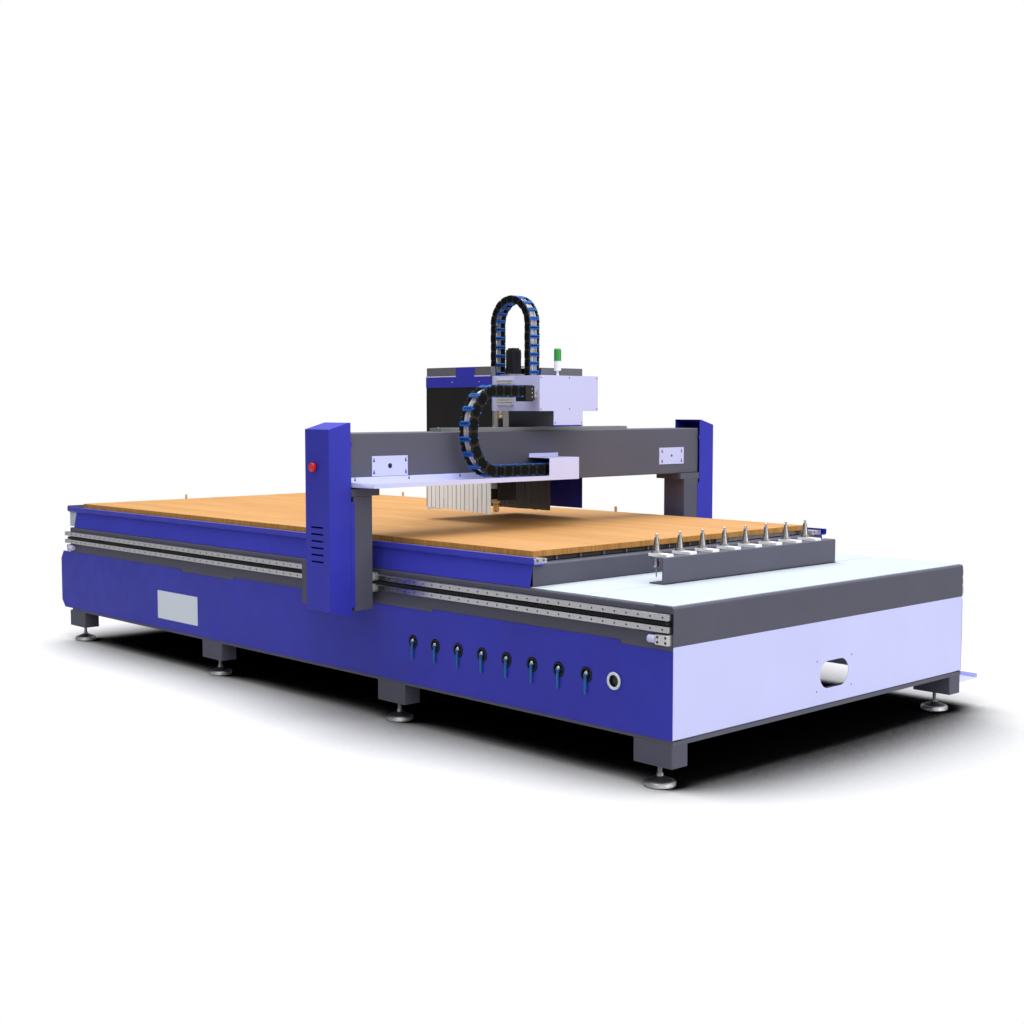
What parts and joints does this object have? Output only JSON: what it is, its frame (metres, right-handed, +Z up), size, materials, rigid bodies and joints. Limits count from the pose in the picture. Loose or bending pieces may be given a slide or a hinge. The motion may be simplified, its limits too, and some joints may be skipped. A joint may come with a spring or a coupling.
{
  "type": "cnc router",
  "caption": "Flat-bed gantry router: long table with fibreboard top on a steel base, travelling gantry with cross-moving spindle head, linear tool rack, cable chains and valve levers.",
  "frame": {"origin": "on the floor, under the middle of the base's length and width", "axes": "+X across the bed to the side without the stop button, +Y along the bed away from the tool rack, +Z up"},
  "size_m": [2.837, 5.21, 2.1055],
  "materials": {
    "frame_dark": "fine-textured powder coat",
    "panel_lavender": "satin paint",
    "panel_blue": "satin paint",
    "panel_grey": "satin paint",
    "fork_white": "moulded",
    "bare_steel": "ground",
    "bright_metal": "bright plated",
    "aluminium": "anodised",
    "spoil_wood": "sanded fibreboard",
    "lever_blue": "moulded",
    "chain_black": "moulded, blue crossbars",
    "button_red": "moulded",
    "lamp_lens": "moulded",
    "black_plastic": "moulded",
    "curtain_pvc": "soft translucent strip",
    "brass": "turned"
  },
  "bodies": {
    "base": {"base_top_beams": "frame_dark", "base_inner_frame": "frame_dark", "base_legs": "frame_dark", "levelling_feet": "bare_steel", "side_panel_left": "panel_blue", "side_panel_right": "panel_blue", "end_panels": "panel_lavender", "name_plate": "panel_lavender", "deck_plates": "panel_lavender", "tool_rack_channel": "frame_dark", "tool_forks": "fork_white", "tool_holders": "bright_metal", "y_rails": "bare_steel", "y_racks": "bare_steel", "end_stops": "black_plastic", "valve_bodies": "black_plastic", "vacuum_manifold": "black_plastic", "bed_frame": "frame_dark", "bed_side_sheets": "panel_blue", "vacuum_table": "aluminium", "spoilboard": "spoil_wood", "locating_pin_cylinders": "aluminium", "chain_tray": "panel_lavender"},
    "pins": {"locating_pins": "brass"},
    "gantry": {"gantry_beam": "frame_dark", "gantry_columns": "frame_dark", "y_carriages": "frame_dark", "cover_left": "panel_blue", "cover_right": "panel_blue", "chain_shelf": "panel_lavender", "beam_plates": "panel_grey", "x_rails_rack": "bare_steel", "y_motors": "black_plastic", "estop_base": "black_plastic", "x_cable_chain": "chain_black"},
    "estop": {"estop_button": "button_red"},
    "y_pinion_l": {"y_pinion_left": "bare_steel"},
    "y_pinion_r": {"y_pinion_right": "bare_steel"},
    "x_carriage": {"x_carriage_plate": "aluminium", "carriage_guides": "bare_steel", "electrics_box": "panel_lavender", "signal_lamp": "lamp_lens", "head_top_box": "panel_grey", "head_panels": "panel_blue", "strip_curtain": "curtain_pvc", "carriage_motors": "black_plastic", "z_cable_chain": "chain_black"},
    "x_pinion_b": {"x_pinion": "bare_steel"},
    "z_screw_b": {"z_ball_screw": "bare_steel"},
    "z_slide_b": {"z_slide": "aluminium", "spindle": "aluminium"},
    "tool": {"spindle_tool": "brass"},
    "lever_1": {"valve_lever_1": "lever_blue"},
    "lever_2": {"valve_lever_2": "lever_blue"},
    "lever_3": {"valve_lever_3": "lever_blue"},
    "lever_4": {"valve_lever_4": "lever_blue"},
    "lever_5": {"valve_lever_5": "lever_blue"},
    "lever_6": {"valve_lever_6": "lever_blue"},
    "lever_7": {"valve_lever_7": "lever_blue"},
    "lever_8": {"valve_lever_8": "lever_blue"}
  },
  "joints": [
    {"name": "gantry_travel", "type": "slide", "parent": "base", "child": "gantry", "axis": [0, 1, 0], "range_m": [-1.44, 2.8]},
    {"name": "x_travel", "type": "slide", "parent": "gantry", "child": "x_carriage", "axis": [1, 0, 0], "range_m": [-1.04, 0.96], "deforming": ["x_cable_chain"]},
    {"name": "z_travel", "type": "slide", "parent": "x_carriage", "child": "z_slide_b", "axis": [0, 0, 1], "range_m": [-0.04, 0.2], "deforming": ["z_cable_chain"]},
    {"name": "spindle_spin", "type": "hinge", "parent": "z_slide_b", "child": "tool", "pos_m": [0.04, -0.358, 1], "axis": [0, 0, 1], "continuous": true},
    {"name": "estop_press", "type": "slide", "parent": "gantry", "child": "estop", "axis": [1, 0, 0], "range_m": [0, 0.005]},
    {"name": "pins_lift", "type": "slide", "parent": "base", "child": "pins", "axis": [0, 0, 1], "range_m": [-0.035, 0]},
    {"name": "y_pinion_left_spin", "type": "hinge", "parent": "gantry", "child": "y_pinion_l", "pos_m": [-1.1635, -0.54, 0.665], "axis": [0, 0, 1], "continuous": true},
    {"name": "y_pinion_right_spin", "type": "hinge", "parent": "gantry", "child": "y_pinion_r", "pos_m": [1.1635, -0.54, 0.665], "axis": [0, 0, 1], "continuous": true},
    {"name": "x_pinion_spin", "type": "hinge", "parent": "x_carriage", "child": "x_pinion_b", "pos_m": [0.25, -0.558, 1.2184], "axis": [0, 1, 0], "continuous": true},
    {"name": "z_screw_spin", "type": "hinge", "parent": "x_carriage", "child": "z_screw_b", "pos_m": [0.04, -0.499, 1.4], "axis": [0, 0, 1], "continuous": true},
    {"name": "valve_lever_1_turn", "type": "hinge", "parent": "base", "child": "lever_1", "pos_m": [-1.1065, -1.02, 0.405], "axis": [1, 0, 0], "range_deg": [0, 90]},
    {"name": "valve_lever_2_turn", "type": "hinge", "parent": "base", "child": "lever_2", "pos_m": [-1.1065, -1.1803, 0.405], "axis": [1, 0, 0], "range_deg": [0, 90]},
    {"name": "valve_lever_3_turn", "type": "hinge", "parent": "base", "child": "lever_3", "pos_m": [-1.1065, -1.3406, 0.405], "axis": [1, 0, 0], "range_deg": [0, 90]},
    {"name": "valve_lever_4_turn", "type": "hinge", "parent": "base", "child": "lever_4", "pos_m": [-1.1065, -1.5009, 0.405], "axis": [1, 0, 0], "range_deg": [0, 90]},
    {"name": "valve_lever_5_turn", "type": "hinge", "parent": "base", "child": "lever_5", "pos_m": [-1.1065, -1.6612, 0.405], "axis": [1, 0, 0], "range_deg": [0, 90]},
    {"name": "valve_lever_6_turn", "type": "hinge", "parent": "base", "child": "lever_6", "pos_m": [-1.1065, -1.8215, 0.405], "axis": [1, 0, 0], "range_deg": [0, 90]},
    {"name": "valve_lever_7_turn", "type": "hinge", "parent": "base", "child": "lever_7", "pos_m": [-1.1065, -1.9818, 0.405], "axis": [1, 0, 0], "range_deg": [0, 90]},
    {"name": "valve_lever_8_turn", "type": "hinge", "parent": "base", "child": "lever_8", "pos_m": [-1.1065, -2.1421, 0.405], "axis": [1, 0, 0], "range_deg": [0, 90]}
  ],
  "couplings": [
    {"joint": "y_pinion_left_spin", "follows": "gantry_travel", "rad_per_m": -22.222},
    {"joint": "y_pinion_right_spin", "follows": "gantry_travel", "rad_per_m": 22.222},
    {"joint": "x_pinion_spin", "follows": "x_travel", "rad_per_m": -52.632},
    {"joint": "z_screw_spin", "follows": "z_travel", "rad_per_m": -628.32}
  ]
}
